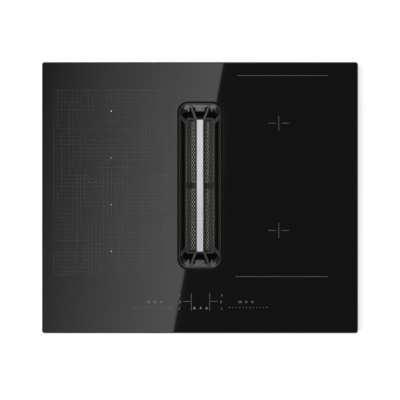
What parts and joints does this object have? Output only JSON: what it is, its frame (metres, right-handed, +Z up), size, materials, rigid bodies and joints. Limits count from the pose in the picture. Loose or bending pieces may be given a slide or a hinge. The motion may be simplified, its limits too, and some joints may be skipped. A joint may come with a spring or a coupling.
{
  "type": "downdraft induction cooktop",
  "caption": "Built-in black glass induction cooktop with a central grille that draws air down through a filter to a fan box.",
  "frame": {"origin": "below the middle of the glass, on the lowest face of the fan box", "axes": "+X to the user's right, +Y to the rear, +Z up"},
  "size_m": [0.6, 0.515, 0.2114],
  "materials": {
    "black_glass": "polished black ceramic glass, opaque",
    "foam_tape": "closed-cell foam tape",
    "seal_rubber": "matt silicone",
    "zinc_sheet": "zinc-coated sheet steel",
    "black_moulding": "fine matt texture",
    "grey_moulding": "fine matt texture",
    "cast_grille": "cast aluminium with satin anthracite enamel",
    "brushed_strip": "brushed along its length",
    "filter_steel": "perforated steel, dark satin coating",
    "tray_steel": "pressed stainless steel",
    "coil_copper": "enamelled litz winding",
    "former_plastic": "glass-filled moulding",
    "ferrite": "pressed ferrite",
    "mica": "mica paper",
    "sensor_plastic": "moulded holder",
    "coil_aluminium": "mill-finish sheet",
    "circuit_board": "solder-masked laminate",
    "capacitor_can": "sleeved can",
    "choke_copper": "enamelled wire on a core",
    "spring_steel": "spring wire",
    "terminal_plastic": "moulded",
    "wheel_plastic": "moulded",
    "motor_iron": "laminated core with windings",
    "bearing_steel": "ground steel"
  },
  "bodies": {
    "housing": {"bracket_screws": "bearing_steel", "cable_gland": "grey_moulding", "capacitors": "capacitor_can", "chassis_pan": "zinc_sheet", "chokes": "choke_copper", "coil_former_left_front": "former_plastic", "coil_former_left_rear": "former_plastic", "coil_former_right_front": "former_plastic", "coil_former_right_rear": "former_plastic", "coil_plate_left": "coil_aluminium", "coil_plate_right": "coil_aluminium", "coil_sensors": "sensor_plastic", "coil_winding_left_front": "coil_copper", "coil_winding_left_rear": "coil_copper", "coil_winding_right_front": "coil_copper", "coil_winding_right_rear": "coil_copper", "display_modules": "black_moulding", "fan_housing_left": "black_moulding", "fan_housing_right": "black_moulding", "ferrite_bars": "ferrite", "flap_frame": "grey_moulding", "glass_frame": "zinc_sheet", "glass_seal": "foam_tape", "glass_top": "black_glass", "heat_sinks": "coil_aluminium", "inlet_ring": "black_moulding", "inlet_seal": "seal_rubber", "inlet_well": "black_moulding", "key_springs": "spring_steel", "mica_sheets": "mica", "motor_base": "zinc_sheet", "motor_bearings": "bearing_steel", "motor_stator": "motor_iron", "outlet_duct": "grey_moulding", "plenum_box": "grey_moulding", "power_boards": "circuit_board", "scroll_lid": "grey_moulding", "scroll_screws": "bearing_steel", "scroll_shell": "grey_moulding", "terminal_block": "terminal_plastic", "terminal_box": "black_moulding", "terminal_lid": "black_moulding", "touch_board": "circuit_board", "touch_carrier": "black_moulding"},
    "drip_tray": {"drip_tray": "tray_steel"},
    "grease_filter": {"filter_basket": "filter_steel"},
    "grille": {"grille": "cast_grille", "grille_strip": "brushed_strip", "grille_pads": "seal_rubber"},
    "fan_wheel": {"impeller": "wheel_plastic", "motor_rotor": "zinc_sheet", "motor_shaft": "bearing_steel"},
    "cooling_fan_left": {"fan_rotor_left": "black_moulding"},
    "cooling_fan_right": {"fan_rotor_right": "black_moulding"},
    "backflow_flap_left": {"flap_left": "black_moulding"},
    "backflow_flap_right": {"flap_right": "black_moulding"},
    "clamp_left_front": {"bracket_left_front": "zinc_sheet"},
    "clamp_left_rear": {"bracket_left_rear": "zinc_sheet"},
    "clamp_right_front": {"bracket_right_front": "zinc_sheet"},
    "clamp_right_rear": {"bracket_right_rear": "zinc_sheet"}
  },
  "joints": [
    {"name": "tray_lift", "type": "slide", "parent": "housing", "child": "drip_tray", "axis": [0, 0, 1], "range_m": [0, 0.08]},
    {"name": "filter_lift", "type": "slide", "parent": "drip_tray", "child": "grease_filter", "axis": [0, 0, 1], "range_m": [0, 0.06]},
    {"name": "grille_lift", "type": "slide", "parent": "grease_filter", "child": "grille", "axis": [0, 0, 1], "range_m": [0, 0.06]},
    {"name": "fan_spin", "type": "hinge", "parent": "housing", "child": "fan_wheel", "pos_m": [-0.045, -0.04, 0.05], "axis": [0, 0, 1], "continuous": true},
    {"name": "cooling_fan_left_spin", "type": "hinge", "parent": "housing", "child": "cooling_fan_left", "pos_m": [-0.21015, -0.195, 0.165], "axis": [0, 0, 1], "continuous": true},
    {"name": "cooling_fan_right_spin", "type": "hinge", "parent": "housing", "child": "cooling_fan_right", "pos_m": [0.21015, -0.195, 0.165], "axis": [0, 0, 1], "continuous": true},
    {"name": "flap_left_hinge", "type": "hinge", "parent": "housing", "child": "backflow_flap_left", "pos_m": [0.04961, 0.073, 0.05], "axis": [0, 0, -1], "range_deg": [0, 80], "stiffness_Nm_per_rad": 0.003, "springref_deg": -17.19},
    {"name": "flap_right_hinge", "type": "hinge", "parent": "housing", "child": "backflow_flap_right", "pos_m": [0.05861, 0.073, 0.05], "axis": [0, 0, 1], "range_deg": [0, 80], "stiffness_Nm_per_rad": 0.003, "springref_deg": -17.19},
    {"name": "clamp_left_front_slide", "type": "slide", "parent": "housing", "child": "clamp_left_front", "axis": [0, 0, 1], "range_m": [-0.01, 0.02]},
    {"name": "clamp_left_rear_slide", "type": "slide", "parent": "housing", "child": "clamp_left_rear", "axis": [0, 0, 1], "range_m": [-0.01, 0.02]},
    {"name": "clamp_right_front_slide", "type": "slide", "parent": "housing", "child": "clamp_right_front", "axis": [0, 0, 1], "range_m": [-0.01, 0.02]},
    {"name": "clamp_right_rear_slide", "type": "slide", "parent": "housing", "child": "clamp_right_rear", "axis": [0, 0, 1], "range_m": [-0.01, 0.02]}
  ]
}
